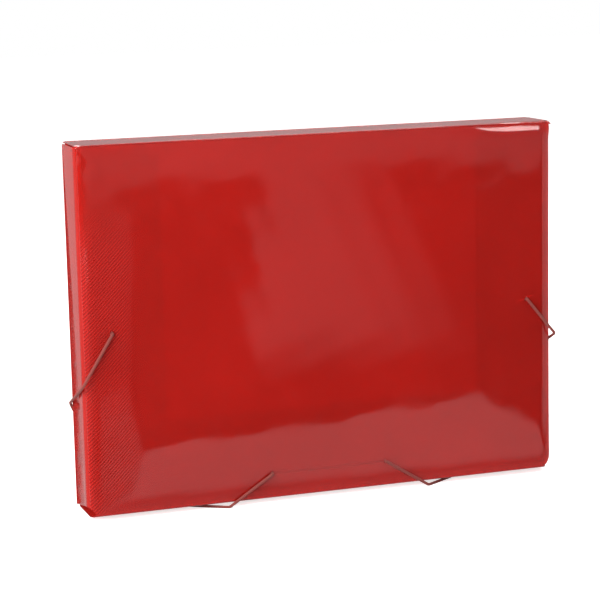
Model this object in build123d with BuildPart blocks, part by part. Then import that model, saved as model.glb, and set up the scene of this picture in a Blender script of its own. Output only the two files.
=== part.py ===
# Three-flap elastic box file of creased translucent sheet, closed and standing on its lower edge.
# Millimetres. X runs along the width, Z is up, and the cover faces -Y.
# The sheet is one die-cut blank: each panel between two creases is a piece of its own here,
# because each one turns about its crease. One elastic cord runs round both lower corners.

from build123d import *
import os

os.makedirs("parts", exist_ok=True)

# Overall sizes of the closed tray
file_width = 330.0
file_height = 242.0
file_depth = 37.0

# Sheet and creases
sheet = 0.6
bead_radius = 0.5
crease_gap = 0.1
corner_relief = 1.5

# Soft bends of the walls, measured on the middle of the sheet
side_bend = 4.2
bottom_bend = 2.0

# Cover and flaps
cover_side_inset = 1.5
cover_bottom_inset = 2.0
cover_corner_radius = 8.0
spine_side_inset = 0.5
flap_gap = 0.8
side_flap_width = 55.0
bottom_flap_height = 60.0
bottom_flap_side_inset = 4.0
flap_corner_radius = 6.0
flap_taper = 0.26
flap_end_gap = 2.5
wall_end_gap = 0.6
bottom_corner_radius = 8.0
wall_foot_rise = 5.0

# Elastic cord, its holes in the cover and its metal ends
cord_diameter = 2.0
cord_clearance = 0.3
foot_flat = 0.3
hole_clearance = 0.45
anchor_inset = 19.5
anchor_height = 121.0
hole_spacing = 81.0
hole_height = 18.0
cord_sides = 12
end_bar_length = 12.0
end_bar_radius = 0.75
end_bar_tip_radius = 0.4
end_bar_taper = 2.0
left_bar_tilt = 15.0
right_bar_tilt = 72.0

# Places along the cord's route, and the radii of its turns
hole_turn = 1.5
front_turn = 5.0
edge_turn = 2.0
left_front_edge_rise = 88.0
left_back_edge_rise = 70.0
right_front_edge_rise = 96.0
right_back_edge_rise = 76.0
back_corner_x = 133.0
front_corner_x = 71.0
foot_end = 4.0

# Levels and middle planes that follow from these sizes
cord_radius = cord_diameter / 2
cover_gap = cord_diameter + 2 * cord_clearance
cord_offset = cord_clearance + cord_radius
base_level = cord_offset + cord_radius - foot_flat
top_level = base_level + file_height
half_width = file_width / 2
side_plane = half_width - bead_radius
back_plane = file_depth / 2 - bead_radius
cover_plane = -back_plane
spine_level = top_level - bead_radius
floor_level = base_level + bead_radius
bottom_flap_plane = cover_plane + sheet + cover_gap
side_flap_plane = bottom_flap_plane + sheet + flap_gap
side_crease_x = side_plane - side_bend
bottom_crease_z = floor_level + bottom_bend
cover_half_width = half_width - cover_side_inset


# A crease is a bead along the edge of one panel, in a shallow seat along the edge of the next.
def crease_bead(start, end):
    """The bead that stands along a crease, from one point to another."""
    axis = Vector(*end) - Vector(*start)
    return Solid.make_cylinder(bead_radius, axis.length, Plane(origin=start, z_dir=axis))


def crease_seat(start, end):
    """The room for a bead, which is cut from the panel that turns round it."""
    axis = Vector(*end) - Vector(*start)
    seat_radius = bead_radius + crease_gap
    return Solid.make_cylinder(seat_radius, axis.length, Plane(origin=start, z_dir=axis))


# Back panel
back_span = side_plane - corner_relief
back_low = floor_level + corner_relief
back_high = spine_level - corner_relief
with BuildPart() as back_panel:
    with BuildSketch(Plane.XZ.offset(-back_plane - sheet / 2)):
        with Locations((0, (floor_level + spine_level) / 2)):
            Rectangle(2 * side_plane, spine_level - floor_level)
    extrude(amount=sheet)
    with Locations(*[(side * side_plane, back_plane, level) for side in (-1, 1)
                     for level in (floor_level, spine_level)]):
        Box(2 * corner_relief, 2 * corner_relief, 2 * corner_relief, mode=Mode.SUBTRACT)
    for side in (-1, 1):
        edge = side * side_plane
        add(crease_bead((edge, back_plane, back_low), (edge, back_plane, back_high)))
    for level in (floor_level, spine_level):
        add(crease_bead((-back_span, back_plane, level), (back_span, back_plane, level)))
back_panel.part.label = "back_panel"

# Spine across the top, from the back panel's crease to the cover's crease
spine_half_width = half_width - spine_side_inset
with BuildPart() as top_spine:
    with BuildSketch(Plane.XY.offset(spine_level - sheet / 2)):
        Rectangle(2 * spine_half_width, 2 * back_plane)
    extrude(amount=sheet)
    seat_ends = [(side * half_width, back_plane, spine_level) for side in (-1, 1)]
    add(crease_seat(*seat_ends), mode=Mode.SUBTRACT)
    bead_ends = [(side * cover_half_width, cover_plane, spine_level) for side in (-1, 1)]
    add(crease_bead(*bead_ends))
top_spine.part.label = "top_spine"

# Front cover with rounded lower corners and four holes for the elastic cord
hole_radius = cord_radius + hole_clearance
cover_low = base_level + cover_bottom_inset
hole_level = base_level + hole_height
anchor_level = base_level + anchor_height
anchor_x = half_width - anchor_inset
with BuildPart() as front_cover:
    with BuildSketch(Plane.XZ.offset(-cover_plane - sheet / 2)) as cover_outline:
        with Locations((0, (cover_low + spine_level) / 2)):
            Rectangle(2 * cover_half_width, spine_level - cover_low)
        fillet(cover_outline.vertices().group_by(Axis.Y)[0], radius=cover_corner_radius)
        with Locations((-anchor_x, anchor_level), (anchor_x, anchor_level),
                       (-hole_spacing / 2, hole_level), (hole_spacing / 2, hole_level)):
            Circle(hole_radius, mode=Mode.SUBTRACT)
    extrude(amount=sheet)
    seat_ends = [(side * half_width, cover_plane, spine_level) for side in (-1, 1)]
    add(crease_seat(*seat_ends), mode=Mode.SUBTRACT)
front_cover.part.label = "front_cover"

# Side walls: flat from the back crease, then a soft bend up to the flap's crease
wall_low = base_level + sheet + corner_relief
wall_high = top_level - 2 * bead_radius - wall_end_gap


def side_wall(side):
    """The wall on one side: -1 is the left one, 1 the right one."""
    edge = side * side_plane
    bend_start = side_flap_plane + side_bend
    with BuildPart() as wall:
        with BuildSketch(Plane.XY.offset(wall_low)):
            with BuildLine():
                Line((edge, back_plane), (edge, bend_start))
                TangentArc((edge, bend_start), (side * side_crease_x, side_flap_plane), tangent=(0, -1))
            trace(line_width=sheet)
        extrude(amount=wall_high - wall_low)
        back_ends = [(edge, back_plane, level) for level in (0, top_level)]
        add(crease_seat(*back_ends), mode=Mode.SUBTRACT)
        crease = side * side_crease_x
        bead_ends = [(crease, side_flap_plane, level) for level in (wall_low, wall_high)]
        add(crease_bead(*bead_ends))
        # the lower edge rises towards the front, and rounds the corner of the bend
        with BuildSketch(Plane.YZ.offset(edge)):
            Polygon((back_plane, wall_low), (bend_start, wall_low), (bend_start, wall_low + wall_foot_rise),
                    align=None)
        extrude(amount=side_bend, both=True, mode=Mode.SUBTRACT)
        with BuildSketch(Plane.XZ.offset(-bend_start)):
            with BuildLine():
                high_point = (edge + side * sheet, wall_low + wall_foot_rise)
                low_point = (side * (side_crease_x - sheet), wall_low)
                Line(high_point, (edge + side * sheet, 0))
                Line((edge + side * sheet, 0), (low_point[0], 0))
                Line((low_point[0], 0), low_point)
                RadiusArc(low_point, high_point, side * bottom_corner_radius)
            make_face()
        extrude(amount=2 * side_bend, mode=Mode.SUBTRACT)
    return wall


left_wall = side_wall(-1)
left_wall.part.label = "left_wall"
right_wall = side_wall(1)
right_wall.part.label = "right_wall"

# Side flaps: square at the top, tapered at the foot so that the bottom flap folds over them
flap_inner_x = half_width - side_flap_width
flap_high = top_level - 2 * bead_radius - flap_end_gap


def side_flap(side):
    """The flap on one side, from its crease to its free edge."""
    reach = side_crease_x - flap_inner_x
    foot_at_crease = base_level + bottom_bend + corner_relief
    foot_at_edge = foot_at_crease + flap_taper * reach
    crease = side * side_crease_x
    inner = side * flap_inner_x
    with BuildPart() as flap:
        with BuildSketch(Plane.XZ.offset(-side_flap_plane - sheet / 2)) as outline:
            Polygon((crease, foot_at_crease), (crease, flap_high), (inner, flap_high),
                    (inner, foot_at_edge), align=None)
            free_corners = outline.vertices().sort_by(Axis.X, reverse=side < 0)[:2]
            fillet(free_corners, radius=flap_corner_radius)
        extrude(amount=sheet)
        seat_ends = [(crease, side_flap_plane, level) for level in (0, top_level)]
        add(crease_seat(*seat_ends), mode=Mode.SUBTRACT)
    return flap


left_flap = side_flap(-1)
left_flap.part.label = "left_flap"
right_flap = side_flap(1)
right_flap.part.label = "right_flap"

# Bottom wall, with a small bend up to the crease of the bottom flap
bottom_half_width = side_plane - corner_relief
with BuildPart() as bottom_wall:
    with BuildSketch(Plane.YZ.offset(-bottom_half_width)):
        with BuildLine():
            bend_start = bottom_flap_plane + bottom_bend
            Line((back_plane, floor_level), (bend_start, floor_level))
            TangentArc((bend_start, floor_level), (bottom_flap_plane, bottom_crease_z), tangent=(-1, 0))
        trace(line_width=sheet)
    extrude(amount=2 * bottom_half_width)
    seat_ends = [(side * half_width, back_plane, floor_level) for side in (-1, 1)]
    add(crease_seat(*seat_ends), mode=Mode.SUBTRACT)
    crease_half_width = bottom_half_width - bottom_corner_radius
    bead_ends = [(side * crease_half_width, bottom_flap_plane, bottom_crease_z) for side in (-1, 1)]
    add(crease_bead(*bead_ends))
    # the front corners are rounded in plan
    with BuildSketch(Plane.XY) as corner_cut:
        for side in (-1, 1):
            with BuildLine():
                outer = side * (bottom_half_width + sheet)
                inner = side * crease_half_width
                front = bottom_flap_plane - bead_radius - sheet
                behind = front + abs(outer - inner)
                Line((outer, behind), (outer, front))
                Line((outer, front), (inner, front))
                TangentArc((inner, front), (outer, behind), tangent=(side, 0))
            make_face()
    extrude(amount=top_level / 2, mode=Mode.SUBTRACT)
bottom_wall.part.label = "bottom_wall"

# Bottom flap, which folds up last over the side flaps
bottom_flap_high = base_level + bottom_flap_height
bottom_flap_half_width = half_width - bottom_flap_side_inset
with BuildPart() as bottom_flap:
    with BuildSketch(Plane.XZ.offset(-bottom_flap_plane - sheet / 2)) as outline:
        with Locations((0, (bottom_crease_z + bottom_flap_high) / 2)):
            Rectangle(2 * bottom_flap_half_width, bottom_flap_high - bottom_crease_z)
        fillet(outline.vertices().group_by(Axis.Y)[0], radius=bottom_corner_radius)
        fillet(outline.vertices().group_by(Axis.Y)[-1], radius=flap_corner_radius)
    extrude(amount=sheet)
    seat_ends = [(side * half_width, bottom_flap_plane, bottom_crease_z) for side in (-1, 1)]
    add(crease_seat(*seat_ends), mode=Mode.SUBTRACT)
bottom_flap.part.label = "bottom_flap"

# Elastic cord: one length from the left end, round the lower left corner, through the cover,
# round the lower right corner to the right end. Its middle line stays clear of the sheet.
front_y = cover_plane - bead_radius - cord_offset
inside_y = cover_plane + sheet / 2 + cord_offset
back_y = back_plane + bead_radius + cord_offset
side_x = side_plane + bead_radius + cord_offset
under_z = base_level - cord_offset
hole_x = hole_spacing / 2


def cord_tube(points, radii, from_floor=False):
    """A tube of many sides along straight runs and tangent arcs, cut flat where it meets the floor."""
    with BuildPart() as tube:
        with BuildLine() as route:
            if radii:
                FilletPolyline(*points, radius=radii)
            else:
                Line(*points)
        path = route.wire()
        with BuildSketch(Plane(origin=path @ 0, z_dir=path % 0)):
            section = RegularPolygon(cord_radius, cord_sides)
        sweep(path=path)
        length = path.length
        exact = section.area * length
        share = tube.part.volume / exact
        if from_floor:
            split(bisect_by=Plane.XY, keep=Keep.TOP)
    print(f"cord length {length:.1f} mm, radii {radii}, volume {share:.4f} of section times length")
    return tube


def along(start, end, distance):
    """The point at a distance from start, on the way to end."""
    step = (Vector(*end) - Vector(*start)).normalized() * distance
    return tuple(Vector(*start) + step)


def side_stretches(side, front_edge_rise, back_edge_rise):
    """The stretches on one side: over the wall and under the box, and the points from there to the hole."""
    behind = (side * anchor_x, inside_y, anchor_level)
    anchor = (side * anchor_x, front_y, anchor_level)
    front_edge = (side * side_x, front_y, base_level + front_edge_rise)
    back_edge = (side * side_x, back_y, base_level + back_edge_rise)
    back_corner = (side * back_corner_x, back_y, under_z)
    front_corner = (side * front_corner_x, front_y, under_z)
    foot_back = along(back_corner, front_corner, foot_end)
    foot_front = along(front_corner, back_corner, foot_end)
    upper = cord_tube([behind, anchor, front_edge, back_edge, back_corner, foot_back],
                      [hole_turn, front_turn, edge_turn, edge_turn], from_floor=True)
    foot = cord_tube([foot_back, foot_front], [], from_floor=True)
    hole = (side * hole_x, front_y, hole_level)
    hole_inside = (side * hole_x, inside_y, hole_level)
    return upper, foot, [foot_front, front_corner, hole, hole_inside]


elastic_left_side, elastic_left_foot, left_run = side_stretches(-1, left_front_edge_rise, left_back_edge_rise)
elastic_left_side.part.label = "elastic_left_side"
elastic_left_foot.part.label = "elastic_left_foot"
elastic_right_side, elastic_right_foot, right_run = side_stretches(1, right_front_edge_rise, right_back_edge_rise)
elastic_right_side.part.label = "elastic_right_side"
elastic_right_foot.part.label = "elastic_right_foot"
elastic_front = cord_tube([*left_run, *reversed(right_run)],
                          [edge_turn, hole_turn, hole_turn, hole_turn, hole_turn, edge_turn], from_floor=True)
elastic_front.part.label = "elastic_front"

# Metal bars crimped across the cord's ends, which lie behind the cover's upper holes
def end_bar(side, tilt):
    """The bar at one end of the cord, tapered to a blunt tip at each end, with its top leaning outwards."""
    half_length = end_bar_length / 2
    shoulder = half_length - end_bar_taper
    centre = (side * anchor_x, inside_y + end_bar_radius, anchor_level)
    across = Vector(1, 0, 0).rotate(Axis.Y, side * tilt)
    bar_plane = Plane(origin=centre, x_dir=across, z_dir=(0, -1, 0))
    with BuildPart() as bar:
        with BuildSketch(bar_plane):
            Polygon((0, -half_length), (end_bar_tip_radius, -half_length), (end_bar_radius, -shoulder),
                    (end_bar_radius, shoulder), (end_bar_tip_radius, half_length), (0, half_length),
                    align=None)
        revolve(axis=Axis(centre, bar_plane.y_dir))
    return bar


left_cord_end = end_bar(-1, left_bar_tilt)
left_cord_end.part.label = "left_cord_end"
right_cord_end = end_bar(1, right_bar_tilt)
right_cord_end.part.label = "right_cord_end"

pieces = [back_panel, top_spine, front_cover, left_wall, right_wall, bottom_wall, left_flap, right_flap,
          bottom_flap, elastic_left_side, elastic_left_foot, elastic_front, elastic_right_foot,
          elastic_right_side, left_cord_end, right_cord_end]
for piece in pieces:
    export_step(piece.part, f"parts/{piece.part.label}.step")
    print(piece.part.label, round(piece.part.volume, 1), "mm3")
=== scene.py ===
# %% [markdown]
# A flap file folded from one sheet of red, see-through plastic, held shut by an elastic cord.
# The imported model gives every panel its size and place, and this script gives each one its
# surface. It is loaded first. Nothing may grow past it.

# %% Load the frame
import math

import bmesh
import bpy
from mathutils import Matrix, Vector


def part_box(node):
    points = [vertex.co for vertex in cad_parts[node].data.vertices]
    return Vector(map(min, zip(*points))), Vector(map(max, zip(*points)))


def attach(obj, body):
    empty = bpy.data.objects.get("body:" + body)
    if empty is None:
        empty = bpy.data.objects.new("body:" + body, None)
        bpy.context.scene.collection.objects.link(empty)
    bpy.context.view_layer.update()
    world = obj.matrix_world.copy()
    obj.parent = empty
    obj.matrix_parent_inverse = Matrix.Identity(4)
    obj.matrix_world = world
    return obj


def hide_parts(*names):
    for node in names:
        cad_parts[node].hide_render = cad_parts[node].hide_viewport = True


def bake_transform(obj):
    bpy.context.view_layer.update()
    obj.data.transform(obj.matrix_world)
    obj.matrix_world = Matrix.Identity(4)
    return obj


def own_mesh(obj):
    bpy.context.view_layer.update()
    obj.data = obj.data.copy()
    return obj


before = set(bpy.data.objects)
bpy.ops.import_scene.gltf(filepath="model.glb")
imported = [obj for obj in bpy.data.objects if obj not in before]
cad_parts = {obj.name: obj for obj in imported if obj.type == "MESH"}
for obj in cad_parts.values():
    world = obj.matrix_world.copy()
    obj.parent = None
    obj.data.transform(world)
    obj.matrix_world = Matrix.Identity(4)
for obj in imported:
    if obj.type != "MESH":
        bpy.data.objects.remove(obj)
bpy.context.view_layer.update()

# %% [markdown]
# The camera stands a little left of the file and above it, with a long lens, so the
# left wall and the top show as thin strips. Its place is a real distance in metres, and
# its turn is built from the three angles that a photographer would name: yaw, pitch, roll.

# %% Camera
camera_place = Vector((-0.4579, -1.2881, 0.3633))
camera_yaw = math.radians(19.1)
camera_pitch = math.radians(9.645)
camera_roll = math.radians(-1.30)
camera_lens = 124.5
camera_film = 36.0
nearest_seen = 0.01

camera_data = bpy.data.cameras.new("camera")
camera_data.lens = camera_lens
camera_data.sensor_width = camera_film
camera_data.clip_start = nearest_seen
camera = bpy.data.objects.new("camera", camera_data)
bpy.context.scene.collection.objects.link(camera)
upright = math.radians(90)
aim = Matrix.Rotation(-camera_yaw, 4, "Z") @ Matrix.Rotation(upright - camera_pitch, 4, "X")
camera.matrix_world = Matrix.Translation(camera_place) @ aim @ Matrix.Rotation(camera_roll, 4, "Z")
bpy.context.scene.camera = camera
print("camera looks along", [round(v, 3) for v in -aim.col[2].to_3d()])

# %% [markdown]
# Every material is a small tree of nodes, and wiring them by hand is wordy. So one helper adds a
# node with its settings and inputs in one call, and the two kinds used most, Math and Map Range,
# get a shorter call that hands back their result. Two more start a material and a node group.

# %% Node helpers
def add_node(tree, kind, settings=None, **inputs):
    """A node of one kind, its settings made, and its inputs filled with a value or a socket."""
    node = tree.nodes.new(kind)
    for key, value in (settings or {}).items():
        setattr(node, key, value)
    for key, value in inputs.items():
        numbered = key[0] == "i" and key[1:].isdigit()
        socket = node.inputs[int(key[1:]) if numbered else key.replace("_", " ")]
        if isinstance(value, bpy.types.NodeSocket):
            tree.links.new(value, socket)
        else:
            socket.default_value = value
    return node


def math_node(tree, operation, *values):
    """The result of one sum over one, two or three values."""
    numbered = {f"i{place}": value for place, value in enumerate(values)}
    return add_node(tree, "ShaderNodeMath", {"operation": operation}, **numbered).outputs[0]


def range_node(tree, value, source=(0.0, 1.0), target=(0.0, 1.0), curve="LINEAR"):
    """A value carried from one range over to another, and held at its two ends."""
    return add_node(tree, "ShaderNodeMapRange", {"interpolation_type": curve}, Value=value,
                    From_Min=source[0], From_Max=source[1], To_Min=target[0], To_Max=target[1]).outputs[0]


def new_material(name, colour):
    """A material with a bare Principled shader, and the tree that it stands in."""
    material = bpy.data.materials.new(name)
    material.use_nodes = True
    material.diffuse_color = (*colour, 1)
    tree = material.node_tree
    shader = tree.nodes["Principled BSDF"]
    shader.inputs["Base Color"].default_value = (*colour, 1)
    return material, tree, shader


def new_group(name, inputs, outputs):
    """A node group, with its input and output nodes: each socket is a name, a kind and a value."""
    group = bpy.data.node_groups.new(name, "ShaderNodeTree")
    for label, kind, value in inputs:
        socket = group.interface.new_socket(name=label, in_out="INPUT", socket_type=kind)
        if value is not None:
            socket.default_value = value
    for label, kind in outputs:
        group.interface.new_socket(name=label, in_out="OUTPUT", socket_type=kind)
    return group, group.nodes.new("NodeGroupInput"), group.nodes.new("NodeGroupOutput")


FLOAT, COLOUR, VECTOR = "NodeSocketFloat", "NodeSocketColor", "NodeSocketVector"
print("node helpers ready")

# %% [markdown]
# Extruded plastic sheet is never quite even: its colour drifts a little over a hand's width, and
# handling leaves faint rubbed patches that scatter a reflection. Noise textures draw both without
# an image. The same effects belong on every panel, so they are one node group, read in metres from
# the object's own coordinates. A noise's scale is then roughly its number of patches per metre.

# %% Sheet surface group
sheet_group, given, made = new_group(
    "sheet_surface",
    [("Coordinates", VECTOR, None), ("Colour", COLOUR, (0.5, 0.02, 0.02, 1)),
     ("Drift", FLOAT, 0.1), ("Gloss roughness", FLOAT, 0.1), ("Rubbing", FLOAT, 0.1)],
    [("Colour", COLOUR), ("Roughness", FLOAT), ("Height", FLOAT)])
drift_scale, rub_scale, grain_scale = 14.0, 55.0, 900.0
usual_noise = (0.3, 0.7)
rubbed_noise = (0.48, 0.72)
drift = add_node(sheet_group, "ShaderNodeTexNoise", Vector=given.outputs["Coordinates"],
                 Scale=drift_scale, Detail=2.0)
shade = range_node(sheet_group, drift.outputs["Fac"], usual_noise, (-1.0, 1.0))
brightness = math_node(sheet_group, "MULTIPLY_ADD", shade, given.outputs["Drift"], 1.0)
tinted = add_node(sheet_group, "ShaderNodeHueSaturation", Color=given.outputs["Colour"], Value=brightness)
rub = add_node(sheet_group, "ShaderNodeTexNoise", Vector=given.outputs["Coordinates"],
               Scale=rub_scale, Detail=6.0, Roughness=0.65, Distortion=0.4)
rubbed = range_node(sheet_group, rub.outputs["Fac"], rubbed_noise)
rough = math_node(sheet_group, "MULTIPLY_ADD", rubbed, given.outputs["Rubbing"],
                  given.outputs["Gloss roughness"])
grain = add_node(sheet_group, "ShaderNodeTexNoise", Vector=given.outputs["Coordinates"],
                 Scale=grain_scale, Detail=2.0)
sheet_group.links.new(tinted.outputs["Color"], made.inputs["Colour"])
sheet_group.links.new(rough, made.inputs["Roughness"])
sheet_group.links.new(grain.outputs["Fac"], made.inputs["Height"])
print("group", sheet_group.name, len(sheet_group.nodes), "nodes")

# %% [markdown]
# Part of the cover carries fine slanted lines, pressed into the sheet when it was rolled. Modelling
# each one would take thousands of faces, so they are a sine wave along one slanted direction. Three
# soft masks keep it to the panel's left side, let it fade in below the top, and end it along a
# slanted line at the foot. The wave makes a real bump, and it also lightens and darkens the colour
# along the lines, which is a painted highlight and shade.

# %% Pressed lines group
lines_group, given, made = new_group(
    "pressed_lines",
    [("Coordinates", VECTOR, None), ("Pitch", FLOAT, 0.0024), ("Slant", FLOAT, 1.0), ("Full", FLOAT, -0.138),
     ("Gone", FLOAT, -0.126), ("Top", FLOAT, 0.215), ("Foot", FLOAT, 0.099), ("Foot slant", FLOAT, 0.6)],
    [("Height", FLOAT)])
top_fade = 0.05
foot_fade = 0.006
split = add_node(lines_group, "ShaderNodeSeparateXYZ", Vector=given.outputs["Coordinates"])
across, up = split.outputs["X"], split.outputs["Z"]


def above_slant(slant):
    """The height over a line that rises by the slant for each metre across."""
    rise = math_node(lines_group, "MULTIPLY", across, given.outputs[slant])
    return math_node(lines_group, "SUBTRACT", up, rise)


turns = math_node(lines_group, "DIVIDE", above_slant("Slant"), given.outputs["Pitch"])
pressed = math_node(lines_group, "SINE", math_node(lines_group, "MULTIPLY", turns, math.tau))
at_left = range_node(lines_group, across, (given.outputs["Gone"], given.outputs["Full"]), curve="SMOOTHSTEP")
below_top = range_node(lines_group, math_node(lines_group, "SUBTRACT", given.outputs["Top"], up),
                       (0.0, top_fade), curve="SMOOTHSTEP")
over_foot = math_node(lines_group, "SUBTRACT", above_slant("Foot slant"), given.outputs["Foot"])
above_foot = range_node(lines_group, over_foot, (-foot_fade, foot_fade), curve="SMOOTHSTEP")
lined_part = math_node(lines_group, "MULTIPLY", math_node(lines_group, "MULTIPLY", at_left, below_top),
                       above_foot)
line_height = math_node(lines_group, "MULTIPLY", pressed, lined_part)
lines_group.links.new(line_height, made.inputs["Height"])
print("group", lines_group.name, len(lines_group.nodes), "nodes")

# %% [markdown]
# The sheet is tinted all through, glossy outside and a little cloudy inside. Part of its light
# scatters back as solid red and part passes through, so the flaps behind the cover show as darker
# bands, and the flaps' own red is painted darker as well, as painted shade. Glass would look too
# clear and paint too solid, and the Principled shader's transmission weight mixes the two. Each
# panel takes the same recipe, with its own clearness and wear.

# %% Red sheet materials
sheet_red = (0.70, 0.028, 0.020)
# The flaps' darker red is painted shade: they are the same sheet as the other panels.
flap_painted_shade = (0.54, 0.023, 0.017)
sheet_ior = 1.49
gloss_roughness = 0.045
grain_strength, grain_depth = 0.05, 0.0001
line_strength, line_depth = 0.5, 0.00008
# How far the pressed lines lift and lower the sheet's colour: a painted highlight and shade along them.
glint_contrast = 0.26


def sheet_material(name, clearness=0.70, rubbing=0.08, drift=0.05, lined=False, colour=sheet_red):
    """Red see-through plastic sheet, with the pressed lines or without them."""
    material, tree, shader = new_material(name, colour)
    place = add_node(tree, "ShaderNodeTexCoord").outputs["Object"]
    surface = add_node(tree, "ShaderNodeGroup", {"node_tree": sheet_group}, Coordinates=place,
                       Colour=(*colour, 1), Drift=drift, Gloss_roughness=gloss_roughness, Rubbing=rubbing)
    tone = surface.outputs["Colour"]
    bump = add_node(tree, "ShaderNodeBump", Strength=grain_strength, Distance=grain_depth,
                    Height=surface.outputs["Height"])
    if lined:
        lines = add_node(tree, "ShaderNodeGroup", {"node_tree": lines_group}, Coordinates=place)
        bump = add_node(tree, "ShaderNodeBump", Strength=line_strength, Distance=line_depth,
                        Height=lines.outputs["Height"], Normal=bump.outputs["Normal"])
        # Besides their real bump, the lines lighten and darken the colour itself: painted highlight and
        # shade.
        line_glint = math_node(tree, "MULTIPLY_ADD", lines.outputs["Height"], glint_contrast, 1.0)
        tone = add_node(tree, "ShaderNodeHueSaturation", Color=tone, Value=line_glint).outputs["Color"]
    tree.links.new(tone, shader.inputs["Base Color"])
    tree.links.new(surface.outputs["Roughness"], shader.inputs["Roughness"])
    tree.links.new(bump.outputs["Normal"], shader.inputs["Normal"])
    shader.inputs["IOR"].default_value = sheet_ior
    shader.inputs["Transmission Weight"].default_value = clearness
    return material


cover_red = sheet_material("cover_red", lined=True)
panel_red = sheet_material("panel_red", rubbing=0.14)
wall_red = sheet_material("wall_red", clearness=0.58, rubbing=0.12)
shadowed_flap_red = sheet_material("shadowed_flap_red", clearness=0.62, rubbing=0.16, drift=0.07, colour=flap_painted_shade)
print("sheet materials", cover_red.name, panel_red.name, wall_red.name, shadowed_flap_red.name)

# %% [markdown]
# A real sheet is never a perfect plane: the creases pull at it, and it stands in shallow waves that
# bend every reflection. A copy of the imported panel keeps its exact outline, holes and creases, and
# a bisect across it leaves that outline as it is. A net of such cuts makes small cells that can move
# one by one, and more cuts can go where a panel bends sharply.

# %% Cut a panel
cell = 0.006
cut_tolerance = 1e-7


def cut_at(mesh, axis, place):
    """One cut straight across a mesh, at a place along one axis."""
    point, normal = Vector((0, 0, 0)), Vector((0, 0, 0))
    point[axis] = place
    normal[axis] = 1
    everything = mesh.verts[:] + mesh.edges[:] + mesh.faces[:]
    bmesh.ops.bisect_plane(mesh, geom=everything, dist=cut_tolerance, plane_co=point, plane_no=normal)


def cut_into_cells(mesh, low, high, axis):
    """Cuts a mesh across one axis at even steps."""
    span = high[axis] - low[axis]
    count = max(1, round(span / cell))
    for step in range(1, count):
        cut_at(mesh, axis, low[axis] + span * step / count)


print("cells of", cell * 1000, "mm")

# %% [markdown]
# Every panel is finished in the same steps: copy, merge, cut, wave, then smooth shading and a small
# bevel that takes the razor edge off the rim. A panel rides on its own body, and one that is given a
# bend is only fixed in its place, on no body.

# %% Panel builder
merge_distance = 1e-6
rim_bevel = 0.00012
rim_angle = math.radians(50)
shading_angle = math.radians(35)


def finish_mesh(name, mesh, material):
    """Turns a bmesh into a smooth-shaded object with its material."""
    data = bpy.data.meshes.new(name)
    mesh.to_mesh(data)
    mesh.free()
    data.shade_smooth()
    data.set_sharp_from_angle(angle=shading_angle)
    data.materials.append(material)
    piece = bpy.data.objects.new(name, data)
    bpy.context.scene.collection.objects.link(piece)
    return piece


def panel_piece(name, node, body, material, flat_axes, wave=None, extra_cuts=(), bend_from=None):
    """A finer copy of one packed panel, cut along its flat axes and moved by a wave."""
    mesh = bmesh.new()
    mesh.from_mesh(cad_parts[node].data)
    bmesh.ops.remove_doubles(mesh, verts=mesh.verts, dist=merge_distance)
    low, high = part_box(node)
    if wave:
        for axis in flat_axes:
            cut_into_cells(mesh, low, high, axis)
        for axis, place in extra_cuts:
            cut_at(mesh, axis, place)
        for vertex in mesh.verts:
            vertex.co += wave(vertex.co)
    piece = finish_mesh(name, mesh, material)
    rim = piece.modifiers.new("rim", "BEVEL")
    rim.width = rim_bevel
    rim.segments = 2
    rim.limit_method = "ANGLE"
    rim.angle_limit = rim_angle
    rim.use_clamp_overlap = True
    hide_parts(node)
    if bend_from:
        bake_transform(piece)
    else:
        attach(piece, body)
    print(name, len(piece.data.polygons), "faces")
    return piece


print("rims bevelled by", rim_bevel * 1000, "mm")

# %% [markdown]
# Both sides of the top crease sink into one soft roll, which is deepest towards the right end and
# shallower at the left. It turns the sheet far enough to catch a lamp as a bright band. The cover
# and the spine share these values, so that they meet along the crease.

# %% Roll along the top crease
roll_height = 0.0090
roll_depth = 0.0024
roll_cuts = 10
right_roll = (0.080, 0.135)
left_roll = (0.120, 0.150)
left_roll_share = 0.45


def soft_step(value, low, high):
    """Rises smoothly from 0 at low to 1 at high."""
    share = min(1.0, max(0.0, (value - low) / (high - low)))
    return share * share * (3 - 2 * share)


def roll_reach(x):
    """How much of the top roll shows at a place across the file: most at the right end."""
    return soft_step(x, *right_roll) + left_roll_share * soft_step(-x, *left_roll)


print("roll", roll_depth * 1000, "mm deep over", roll_height * 1000, "mm")

# %% [markdown]
# The cover's face has a long bow over its width, a slow ripple that leans across it, a very fine one
# that makes the edges of reflections waver, and a slight curl at its free lower edge. These stay
# under a millimetre, because the cord lies close in front, and they fade out at the top. Its rims
# move more: the top sinks into the roll, and both sides curl back towards the walls by 2.6 mm. A
# lean or a swell below is a wave's radians along the half width or the height, and then where it
# starts. A fine ripple is its depth and its radians per metre, across and up.

# %% Front cover
cover_low, cover_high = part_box("front_cover")
roll_drop = 0.0002
top_hold = 0.05
bow_depth = 0.00045
ripple_depth = 0.00022
ripple_lean = (5.1, 2.4, 0.6)
ripple_swell = (3.3, -0.8)
fine_ripples = ((0.00004, 215, 90), (0.00003, -110, 250))
hem_depth = 0.00035
hem_height = 0.05
hem_swell = (2.2, 0.4)
side_curl_width = 0.0085
side_curl_depth = 0.0026
side_curl_fade = 0.012
side_curl_cuts = 8
curl_start = cover_high.x - side_curl_width


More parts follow.
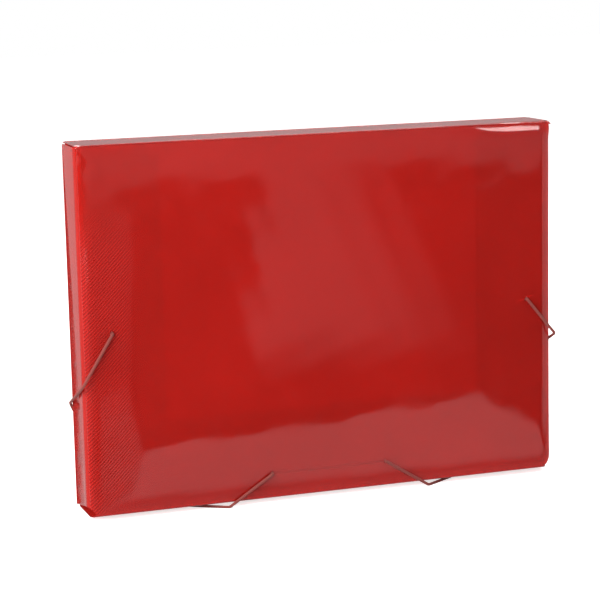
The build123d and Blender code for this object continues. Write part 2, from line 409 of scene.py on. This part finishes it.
def cover_wave(point):
    """How far a point of the cover moves, out of its plane and down into the roll."""
    across = point.x / cover_high.x
    up = (point.z - cover_low.z) / (cover_high.z - cover_low.z)
    below_top = cover_high.z - point.z
    bow = bow_depth * math.cos(across * math.pi / 2) * math.sin(up * math.pi)
    leaning = math.sin(ripple_lean[0] * across + ripple_lean[1] * up + ripple_lean[2])
    ripple = ripple_depth * leaning * math.cos(ripple_swell[0] * up + ripple_swell[1])
    ripple += sum(depth * math.sin(by_x * point.x + by_z * point.z) for depth, by_x, by_z in fine_ripples)
    near_hem = 1 - soft_step(point.z, 0.0, hem_height)
    hem = hem_depth * near_hem * math.cos(hem_swell[0] * across + hem_swell[1])
    face = soft_step(below_top, 0.0, top_hold) * (bow + ripple + hem)
    near_fold = max(0.0, 1 - below_top / roll_height)
    roll = roll_reach(point.x) * near_fold ** 2
    near_side = max(0.0, (abs(point.x) - curl_start) / side_curl_width)
    side_curl = side_curl_depth * near_side ** 2 * soft_step(below_top, 0.0, side_curl_fade)
    return Vector((0, face + roll_depth * roll + side_curl, -roll_drop * roll))


cover_cuts = [(2, cover_high.z - roll_height * step / roll_cuts) for step in range(1, roll_cuts + 1)]
cover_cuts += [(0, side * (curl_start + side_curl_width * step / side_curl_cuts))
               for side in (-1, 1) for step in range(side_curl_cuts)]
cover_bend = ("top_spine", (0, 0, cover_high.z), (0, 0, cover_high.z - roll_height))
panel_piece("cover_sheet", "front_cover", "front_cover", cover_red, (0, 2), cover_wave, cover_cuts,
            cover_bend)

# %% [markdown]
# The spine is a narrow strip that its creases keep flat, apart from its front edge, which sinks into
# the roll, and its two front corners, which are round and droop a little. A bevel would leave the
# corner's faces flat, so each point near a corner is drawn from a square onto a circle instead.

# %% Top spine
spine_low, spine_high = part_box("top_spine")
spine_roll_width = 0.0120
spine_roll_drop = 0.0006
spine_corner = 0.0050
corner_droop = 0.0020
corner_cuts = 5


def spine_wave(point):
    """The front of the spine sinks into the roll, and its front corners turn round and droop."""
    near_fold = max(0.0, 1 - (point.y - spine_low.y) / spine_roll_width)
    roll = roll_reach(point.x) * near_fold ** 2
    beside = (abs(point.x) - spine_high.x) / spine_corner + 1
    ahead = (spine_low.y - point.y) / spine_corner + 1
    shift = Vector((0, roll_depth * roll, -spine_roll_drop * roll))
    if beside > 0 and ahead > 0:
        pull = spine_corner * (max(beside, ahead) / math.hypot(beside, ahead) - 1)
        droop = corner_droop * (beside * ahead) ** 2
        shift += Vector((math.copysign(beside * pull, point.x), -ahead * pull, -droop))
    return shift


spine_cuts = [(1, spine_low.y + spine_roll_width * step / roll_cuts) for step in range(1, roll_cuts + 1)]
spine_cuts += [(0, side * (spine_high.x - spine_corner * step / corner_cuts))
               for side in (-1, 1) for step in range(1, corner_cuts + 1)]
print("spine gets", len(spine_cuts), "extra cuts")

# %% [markdown]
# The back panel is large and held at all four creases, so it bows outwards in the middle. The flaps
# are held on one side only, so each has a free edge that undulates by a fraction of a millimetre:
# its reach runs from the crease to that edge, in metres. The walls and the bottom wall are stiff
# from their bends and get no wave.

# %% Back panel, walls and flaps
back_low, back_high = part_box("back_panel")
back_bow = 0.0006
back_ripple = (0.35, 31, 17)
side_flap_reach = (0.160, 0.110)
side_flap_curl = (0.0004, 22, 0.5)
bottom_flap_reach = (0.004, 0.062)
bottom_flap_curl = (0.0005, 19, 1.1)


def back_wave(point):
    """A single shallow bow outwards, held at all four creases."""
    across = math.cos(point.x / back_high.x * math.pi / 2)
    up = math.sin((point.z - back_low.z) / (back_high.z - back_low.z) * math.pi)
    share, by_x, by_z = back_ripple
    return Vector((0, back_bow * across * up * (1 + share * math.sin(by_x * point.x + by_z * point.z)), 0))


def edge_curl(reach, curl, along):
    """A free edge that undulates along its length: depth, radians per metre and start."""
    depth, turn, start = curl
    return Vector((0, depth * reach * math.sin(turn * along + start), 0))


def flap_wave(point):
    """A side flap's free edge undulates up its height."""
    return edge_curl(soft_step(abs(point.x), *side_flap_reach), side_flap_curl, point.z)


def bottom_flap_wave(point):
    """The bottom flap's free edge undulates along its width."""
    return edge_curl(soft_step(point.z, *bottom_flap_reach), bottom_flap_curl, point.x)


panel_piece("back_sheet", "back_panel", "back_panel", panel_red, (0, 2), back_wave)
panel_piece("bottom_sheet", "bottom_wall", "back_panel", panel_red, ())
panel_piece("spine_sheet", "top_spine", "top_spine", panel_red, (0,), spine_wave, spine_cuts)
panel_piece("bottom_flap_sheet", "bottom_flap", "bottom_flap", shadowed_flap_red, (0, 2), bottom_flap_wave)
for side in ("left", "right"):
    panel_piece(f"{side}_wall_sheet", f"{side}_wall", f"{side}_wall", wall_red, ())
    panel_piece(f"{side}_flap_sheet", f"{side}_flap", f"{side}_flap", shadowed_flap_red, (0, 2), flap_wave)

# %% [markdown]
# The cord is round braided elastic: rubber threads in a knitted jacket of dull brownish red. Two sets
# of yarns wind round it, one each way, and where they cross the jacket stands up in small diamonds.
# The group below draws the yarns' shade from the tube's own map: round it in U, along it in V.
# It is light on top of the diamonds and dark in the grooves between them, which is painted shade.

# %% Braid group
braid_group, given, made = new_group(
    "braid_shade",
    [("Round", FLOAT, 0.0), ("Along", FLOAT, 0.0), ("Yarns", FLOAT, 8.0),
     ("Dark", COLOUR, (0.2, 0.04, 0.03, 1)), ("Light", COLOUR, (0.4, 0.1, 0.08, 1))],
    [("Colour", COLOUR)])


def yarn_wave(direction):
    """One set of yarns: a sine over the angle round the cord and the way along it."""
    lean = math_node(braid_group, "MULTIPLY", given.outputs["Along"], float(direction))
    total = math_node(braid_group, "ADD", given.outputs["Round"], lean)
    phase = math_node(braid_group, "MULTIPLY", total, given.outputs["Yarns"])
    return math_node(braid_group, "SINE", math_node(braid_group, "MULTIPLY", phase, math.tau))


crossing = math_node(braid_group, "MULTIPLY", yarn_wave(1), yarn_wave(-1))
level = range_node(braid_group, crossing, (-1.0, 1.0))
yarn_shade = add_node(braid_group, "ShaderNodeMix", {"data_type": "RGBA"}, Factor=level,
                      i6=given.outputs["Dark"], i7=given.outputs["Light"])
braid_group.links.new(yarn_shade.outputs[2], made.inputs["Colour"])
print("group", braid_group.name, len(braid_group.nodes), "nodes")

# %% [markdown]
# Beside the glossy sheet the jacket is dull, with hardly a highlight. Its colour is the braid group's,
# a trace of sheen stands for loose fibres, and a very fine noise roughens it through a bump. The
# yarns' number and pitch are named here, because the tube's own diamonds follow them too.

# %% Cord material
yarn_count = 8
yarn_pitch = 0.0042
jacket_red = (0.33, 0.075, 0.06)
# The dark colour is painted shade in the grooves between the braid's diamonds.
yarn_groove_shade, yarn_light = (0.11, 0.026, 0.021, 1), (0.30, 0.055, 0.045, 1)
fuzz_scale, fuzz_strength, fuzz_depth = 6000.0, 0.35, 0.00005
cord_material, tree, shader = new_material("cord_jacket", jacket_red)
place = add_node(tree, "ShaderNodeTexCoord")
place_parts = add_node(tree, "ShaderNodeSeparateXYZ", Vector=place.outputs["UV"])
jacket = add_node(tree, "ShaderNodeGroup", {"node_tree": braid_group}, Round=place_parts.outputs["X"],
                  Along=place_parts.outputs["Y"], Yarns=yarn_count, Dark=yarn_groove_shade, Light=yarn_light)
fuzz = add_node(tree, "ShaderNodeTexNoise", Vector=place.outputs["Object"], Scale=fuzz_scale, Detail=3.0)
cord_bump = add_node(tree, "ShaderNodeBump", Strength=fuzz_strength, Distance=fuzz_depth,
                     Height=fuzz.outputs["Fac"])
tree.links.new(jacket.outputs["Colour"], shader.inputs["Base Color"])
tree.links.new(cord_bump.outputs["Normal"], shader.inputs["Normal"])
shader.inputs["Roughness"].default_value = 0.72
shader.inputs["Sheen Weight"].default_value = 0.05
shader.inputs["Specular IOR Level"].default_value = 0.25
shader.inputs["Sheen Roughness"].default_value = 0.5
print("cord material", cord_material.name)

# %% [markdown]
# The cord's way is a list of points, in metres, the same as in the part's source, with one more point
# each side of a corner so that a smooth spline hugs it. The curve is only drawn to be measured: its
# points are kept, and the distance to each is added up.

# %% Cord route
curve_steps = 12
tiny = 1e-9


def smooth_route(points):
    """The points of a smooth spline that follows the route's points."""
    curve = bpy.data.curves.new("route", "CURVE")
    curve.dimensions = "3D"
    curve.resolution_u = curve_steps
    spline = curve.splines.new("NURBS")
    spline.points.add(len(points) - 1)
    for knot, point in zip(spline.points, points):
        knot.co = (*point, 1)
    spline.order_u = 3
    spline.use_endpoint_u = True
    holder = bpy.data.objects.new("route", curve)
    line = bpy.data.meshes.new_from_object(holder)
    path = [vertex.co.copy() for vertex in line.vertices]
    bpy.data.objects.remove(holder)
    bpy.data.curves.remove(curve)
    bpy.data.meshes.remove(line)
    return path


def walk(path):
    """The distance from the start to each point of a path."""
    reached = [0.0]
    for before, after in zip(path, path[1:]):
        reached.append(reached[-1] + (after - before).length)
    return reached


def carry(path, reached, distance, state):
    """The place and the two cross directions on a path at a distance, turned on without twist."""
    while state["index"] < len(path) - 2 and reached[state["index"] + 1] < distance:
        state["index"] += 1
    index = state["index"]
    span = max(tiny, reached[index + 1] - reached[index])
    share = (distance - reached[index]) / span
    before = path[index] - path[max(0, index - 1)]
    here = path[index + 1] - path[index]
    after = path[min(len(path) - 1, index + 2)] - path[index + 1]
    after = after if after.length > tiny else here
    before = before if before.length > tiny else here
    start = (before.normalized() + here.normalized()).normalized()
    end = (here.normalized() + after.normalized()).normalized()
    tangent = start.lerp(end, share).normalized()
    right = state["right"] - tangent * state["right"].dot(tangent)
    state["right"] = right.normalized()
    return path[index].lerp(path[index + 1], share), state["right"], tangent.cross(state["right"])


print("cord route in", curve_steps, "steps per point")

# %% [markdown]
# The tube starts as a straight cone with equal ends, cut into rings; each ring is then carried to its
# place on the spline. The braid's diamonds are a small rise and fall of each ring, worked out from
# the angle and the way along before it is bent. Where the cord passes under the file, the floor
# presses it flat. A curve with a round bevel would be quicker, but couldn't stand up in diamonds.

# %% Cord builder
cord_radius = 0.001
braid_rise = 0.00007
cord_sides = 24
ring_step = 0.00045


def map_yarns(mesh, length):
    """Gives the straight tube its map: once round it in U, and the yarns' turns along it in V."""
    uv = mesh.loops.layers.uv.new("UVMap")
    for face in [face for face in mesh.faces if len(face.verts) == 4]:
        turns = [math.atan2(loop.vert.co.y, loop.vert.co.x) / math.tau for loop in face.loops]
        for loop, turn in zip(face.loops, turns):
            wrapped = turn + 1 if max(turns) - turn > 0.5 else turn
            loop[uv].uv = (wrapped, (loop.vert.co.z + length / 2) / yarn_pitch / yarn_count * 2)


def cord_piece(name, points, nodes, body):
    """A length of braided cord along a route."""
    path = smooth_route(points)
    reached = walk(path)
    length = reached[-1]
    rings = round(length / ring_step)
    mesh = bmesh.new()
    bmesh.ops.create_cone(mesh, cap_ends=True, segments=cord_sides, radius1=cord_radius, radius2=cord_radius,
                          depth=length)
    long_edges = [edge for edge in mesh.edges if abs(edge.verts[0].co.z - edge.verts[1].co.z) > length / 2]
    bmesh.ops.subdivide_edges(mesh, edges=long_edges, cuts=rings - 1, use_grid_fill=False)
    map_yarns(mesh, length)
    first = (path[1] - path[0]).normalized()
    state = {"index": 0, "right": first.orthogonal().normalized()}
    for vertex in sorted(mesh.verts, key=lambda one: one.co.z):
        distance = min(length, max(0.0, vertex.co.z + length / 2))
        turn = math.atan2(vertex.co.y, vertex.co.x)
        lean = math.tau * distance / yarn_pitch * 2
        rise = math.sin(yarn_count * turn + lean) * math.sin(yarn_count * turn - lean)
        radius = cord_radius - braid_rise * (0.5 - 0.5 * rise)
        place, right, up = carry(path, reached, distance, state)
        vertex.co = place + right * (radius * math.cos(turn)) + up * (radius * math.sin(turn))
        vertex.co.z = max(0.0, vertex.co.z)
    bmesh.ops.recalc_face_normals(mesh, faces=mesh.faces)
    piece = finish_mesh(name, mesh, cord_material)
    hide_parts(*nodes)
    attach(piece, body)
    print(name, "length", round(length * 1000, 1), "mm,", len(piece.data.polygons), "faces")
    return piece


print("a ring of the cord every", ring_step * 1000, "mm")

# %% [markdown]
# One length of elastic is drawn here as three stretches: a loop round each lower corner, and the front
# run that dives behind the cover between its lower holes. The loops stay stretched on the cover when it
# opens, and on the real file they are pulled off the corners first, so they flatten onto the cover.

# %% The cord's three stretches
left_route = [
    (-0.1455, -0.0155, 0.1230), (-0.1455, -0.0182, 0.1230), (-0.1455, -0.0198, 0.1230),
    (-0.1464, -0.0198, 0.1216), (-0.1636, -0.0198, 0.0942), (-0.1663, -0.0198, 0.0900),
    (-0.1663, -0.0152, 0.0879), (-0.1663, 0.0152, 0.0741), (-0.1663, 0.0198, 0.0720),
    (-0.1642, 0.0198, 0.0675), (-0.1351, 0.0198, 0.0052), (-0.1330, 0.0198, 0.0007),
    (-0.1288, 0.0171, 0.0007), (-0.0752, -0.0171, 0.0007), (-0.0726, -0.0188, 0.0007)]
right_route = [
    (0.1455, -0.0155, 0.1230), (0.1455, -0.0182, 0.1230), (0.1455, -0.0198, 0.1230),
    (0.1465, -0.0198, 0.1217), (0.1632, -0.0198, 0.1012), (0.1663, -0.0198, 0.0980),
    (0.1663, -0.0154, 0.0958), (0.1663, 0.0154, 0.0802), (0.1663, 0.0198, 0.0780),
    (0.1643, 0.0198, 0.0734), (0.1350, 0.0198, 0.0053), (0.1330, 0.0198, 0.0007),
    (0.1288, 0.0171, 0.0007), (0.0752, -0.0171, 0.0007), (0.0726, -0.0188, 0.0007)]
front_half = [
    (-0.0726, -0.0188, 0.0007), (-0.0710, -0.0198, 0.0007), (-0.0696, -0.0198, 0.0016),
    (-0.0419, -0.0198, 0.0191), (-0.0405, -0.0198, 0.0200), (-0.0405, -0.0182, 0.0200),
    (-0.0405, -0.0166, 0.0200), (-0.0388, -0.0167, 0.0200)]
front_route = front_half + [(-x, y, z) for x, y, z in reversed(front_half)]

left_nodes = ("elastic_left_side", "elastic_left_foot")
right_nodes = ("elastic_right_side", "elastic_right_foot")
left_loop = cord_piece("left_elastic", left_route, left_nodes, "front_cover")
right_loop = cord_piece("right_elastic", right_route, right_nodes, "front_cover")
cord_piece("front_elastic", front_route, ("elastic_front",), "front_cover")
for loop in (left_loop, right_loop):
    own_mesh(loop)

# %% [markdown]
# A bar of bright metal is crimped across each end of the cord, and catches behind the cover's hole.
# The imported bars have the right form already, so they only get a finish: drawn steel with fine lines
# along the bar and a slightly uneven shine. A noise stretched by a Mapping node draws the lines.

# %% Metal ends
steel_grey = (0.62, 0.60, 0.58)
lines_per_metre = (9000.0, 9000.0, 600.0)
shine_range, tone_range = (0.18, 0.42), (0.5, 0.72)
drawn_strength, drawn_depth = 0.2, 0.00002
steel, tree, shader = new_material("bright_steel", steel_grey)
place = add_node(tree, "ShaderNodeTexCoord")
stretched = add_node(tree, "ShaderNodeMapping", Vector=place.outputs["Object"], Scale=lines_per_metre)
drawn = add_node(tree, "ShaderNodeTexNoise", Vector=stretched.outputs["Vector"], Scale=1.0, Detail=3.0)
shine = range_node(tree, drawn.outputs["Fac"], target=shine_range)
tone = range_node(tree, drawn.outputs["Fac"], target=tone_range)
grey = add_node(tree, "ShaderNodeCombineColor", Red=tone, Green=tone, Blue=tone)
steel_bump = add_node(tree, "ShaderNodeBump", Strength=drawn_strength, Distance=drawn_depth,
                      Height=drawn.outputs["Fac"])
tree.links.new(shine, shader.inputs["Roughness"])
tree.links.new(grey.outputs[0], shader.inputs["Base Color"])
tree.links.new(steel_bump.outputs["Normal"], shader.inputs["Normal"])
shader.inputs["Metallic"].default_value = 1.0
for side in ("left", "right"):
    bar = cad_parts[f"{side}_cord_end"]
    bar.data.materials.clear()
    bar.data.materials.append(steel)
print("metal ends", steel.name)

# %% [markdown]
# Four soft boxes stand round the file. The front one is close by on the left, so that the red falls
# off towards the right, the overhead one fills in, and the back one shines through the sheet. The
# last one is only there to be mirrored in the roll along the top crease, so it gives no diffuse light.

# %% Lamps
def soft_box(name, place, target, size, power):
    """A rectangular soft box that looks at a point."""
    data = bpy.data.lights.new(name, "AREA")
    data.shape = "RECTANGLE"
    data.size, data.size_y = size
    data.energy = power
    lamp = bpy.data.objects.new(name, data)
    lamp.location = place
    lamp.rotation_mode = "QUATERNION"
    lamp.rotation_quaternion = (Vector(target) - Vector(place)).to_track_quat("-Z", "Y")
    bpy.context.scene.collection.objects.link(lamp)
    return lamp


file_middle = (0, 0, 0.12)
fold_right_end = (0.13, -0.018, 0.243)
soft_box("front_box", (-0.95, -0.60, 0.65), file_middle, (0.95, 0.95), 21)
soft_box("overhead_box", (0.95, 0.0, 1.25), file_middle, (0.8, 0.9), 7)
soft_box("back_box", (0.35, 1.20, 1.00), file_middle, (0.8, 0.8), 9)
fold_box = soft_box("fold_box", (0.70, -1.45, 1.30), fold_right_end, (0.6, 0.9), 17)
fold_box.visible_diffuse = False
print("four soft boxes")

# %% [markdown]
# The room is an even background and one large floor, and both are white in the picture, so no seam
# shows between them. The background is that white only to the camera and to rays that come through
# the sheet: one that lights the file or is mirrored in it meets less, or everything would look washed
# out. The Light Path node tells the kinds of ray apart, and it stays out of a node group.

# %% World and floor
def ray_kind(tree, *kinds):
    """1 for a ray of one of these kinds, else 0."""
    path = add_node(tree, "ShaderNodeLightPath")
    total = path.outputs[kinds[0]]
    for kind in kinds[1:]:
        total = math_node(tree, "MAXIMUM", total, path.outputs[kind])
    return total


white = (1, 1, 1, 1)
ambient = 0.5
mirrored_sky = 0.42
floor_reach = 6
world = bpy.data.worlds.new("studio")
world.use_nodes = True
tree = world.node_tree
unseen = range_node(tree, ray_kind(tree, "Is Glossy Ray"), target=(ambient, mirrored_sky))
strength = range_node(tree, ray_kind(tree, "Is Camera Ray", "Is Transmission Ray"), target=(unseen, 1.0))
background = tree.nodes["Background"]
background.inputs["Color"].default_value = white
tree.links.new(strength, background.inputs["Strength"])
bpy.context.scene.world = world

floor_mesh = bmesh.new()
bmesh.ops.create_grid(floor_mesh, x_segments=2, y_segments=2, size=floor_reach)
floor_data = bpy.data.meshes.new("floor")
floor_mesh.to_mesh(floor_data)
floor_mesh.free()
floor = bpy.data.objects.new("floor", floor_data)
bpy.context.scene.collection.objects.link(floor)
print("floor reaches", floor_reach, "m each way")

# %% [markdown]
# What makes glossy plastic look glossy is what it mirrors. Cards and windows could be modelled, but
# they would cast light and shadow too, so they are painted on the floor for mirroring rays only.
# Each painted edge is soft: a pair of places, in metres, from where it is nothing to where it is
# full. A slanted edge adds a share of the other direction first.

# %% What the gloss mirrors
floor_white = (0.9, 0.9, 0.9)
floor_material, tree, shader = new_material("floor_white", floor_white)
floor_place = add_node(tree, "ShaderNodeTexCoord")
spot = add_node(tree, "ShaderNodeSeparateXYZ", Vector=floor_place.outputs["Object"])
spot_x, spot_y = spot.outputs["X"], spot.outputs["Y"]


def soft_edge(value, edge):
    """0 before the first place of an edge, 1 past its second."""
    return range_node(tree, value, edge, curve="SMOOTHSTEP")


def leaning(value, other, slant):
    """A direction with a share of the other one added."""
    return math_node(tree, "ADD", value, math_node(tree, "MULTIPLY", other, slant))


def both(first, second):
    """Where two masks meet, or a mask at part of its strength."""
    return math_node(tree, "MULTIPLY", first, second)


def either(first, second):
    """The stronger of two masks."""
    return math_node(tree, "MAXIMUM", first, second)


print("floor mapped in metres")

# %% [markdown]
# Low down, the cover mirrors a white card that lies in front of the file, with slanted edges at its
# front and left. Beside the file the floor is pale, on the right more than on the left. Higher up it
# mirrors the dim room beyond the card, with one window and a far wall. The table behind the file is
# what the back and the left wall mirror.

# %% The mirrored room
table_front = (-0.08, -0.04)
card_front, card_front_slant = (-0.223, -0.211), 0.24
card_left, card_left_slant = (-0.208, -0.192), 0.60
card_right = (0.232, 0.212)
right_side, right_side_back, right_side_slant = (0.22, 0.30), (0.06, 0.14), 0.9
left_side, left_side_front = (-0.24, -0.30), (-0.90, -0.40)
window_left, window_right, window_slant = (-0.066, -0.046), (0.20, 0.02), 0.33
window_front = (-0.36, -0.62)
far_wall_front = (-1.72, -1.85)
mirrored_table, right_light, left_light, room_light, dim_room = 0.52, 0.85, 0.55, 0.5, 0.03

behind = soft_edge(spot_y, table_front)
card_x = leaning(spot_x, spot_y, card_left_slant)
card_y = leaning(spot_y, spot_x, card_front_slant)
card_width = both(soft_edge(card_x, card_left), soft_edge(spot_x, card_right))
on_card = both(soft_edge(card_y, card_front), card_width)
swung = leaning(spot_y, spot_x, right_side_slant)
right_of_file = both(soft_edge(spot_x, right_side), soft_edge(swung, right_side_back))
left_of_file = both(soft_edge(spot_x, left_side), soft_edge(spot_y, left_side_front))
beside = either(both(right_of_file, right_light), both(left_of_file, left_light))
in_front = both(either(on_card, beside), math_node(tree, "SUBTRACT", 1.0, behind))
window_x = leaning(spot_x, spot_y, window_slant)
window_width = both(soft_edge(window_x, window_right), soft_edge(spot_y, window_front))
window = both(soft_edge(window_x, window_left), window_width)
room = both(either(window, soft_edge(spot_y, far_wall_front)), room_light)
near_file = either(both(behind, mirrored_table), in_front)
mirrored = either(either(near_file, room), dim_room)
print("mirrored room:", len(tree.nodes), "nodes")

# %% [markdown]
# The floor looks different to four kinds of ray. A lighting ray meets matt white paint. The camera
# sees that paint with a glow added, which keeps the file's shadow but lifts the rest to white. A ray
# that comes through the sheet sees a shade close behind the file that brightens further back, because
# the file shades its own floor. A mirroring ray sees the painted room.

# %% Floor material
camera_glow = 0.70
shade_near, shade_far, shade_floor = 0.12, 0.42, 0.35
shader.inputs["Roughness"].default_value = 0.9
shader.inputs["Specular IOR Level"].default_value = 0.0


def glow(strength):
    """A shader that gives off white light."""
    return add_node(tree, "ShaderNodeEmission", Strength=strength).outputs[0]


def for_rays(kind, others, shown):
    """One shader for rays of a kind, and another for the rest."""
    return add_node(tree, "ShaderNodeMixShader", i0=ray_kind(tree, kind), i1=others, i2=shown).outputs[0]


paint = shader.outputs[0]
lifted = add_node(tree, "ShaderNodeAddShader", i0=paint, i1=glow(camera_glow)).outputs[0]
shaded = range_node(tree, spot_y, (shade_near, shade_far), (shade_floor, 1.0), "SMOOTHSTEP")
surface = for_rays("Is Camera Ray", paint, lifted)
surface = for_rays("Is Transmission Ray", surface, glow(shaded))
surface = for_rays("Is Glossy Ray", surface, glow(mirrored))
tree.links.new(surface, tree.nodes["Material Output"].inputs["Surface"])
floor_data.materials.append(floor_material)
print("floor", floor_material.name)

# %% [markdown]
# Last, the view transform is the plain one, so that a colour shows as it is written.

# %% Finish
bpy.context.scene.view_settings.view_transform = "Standard"
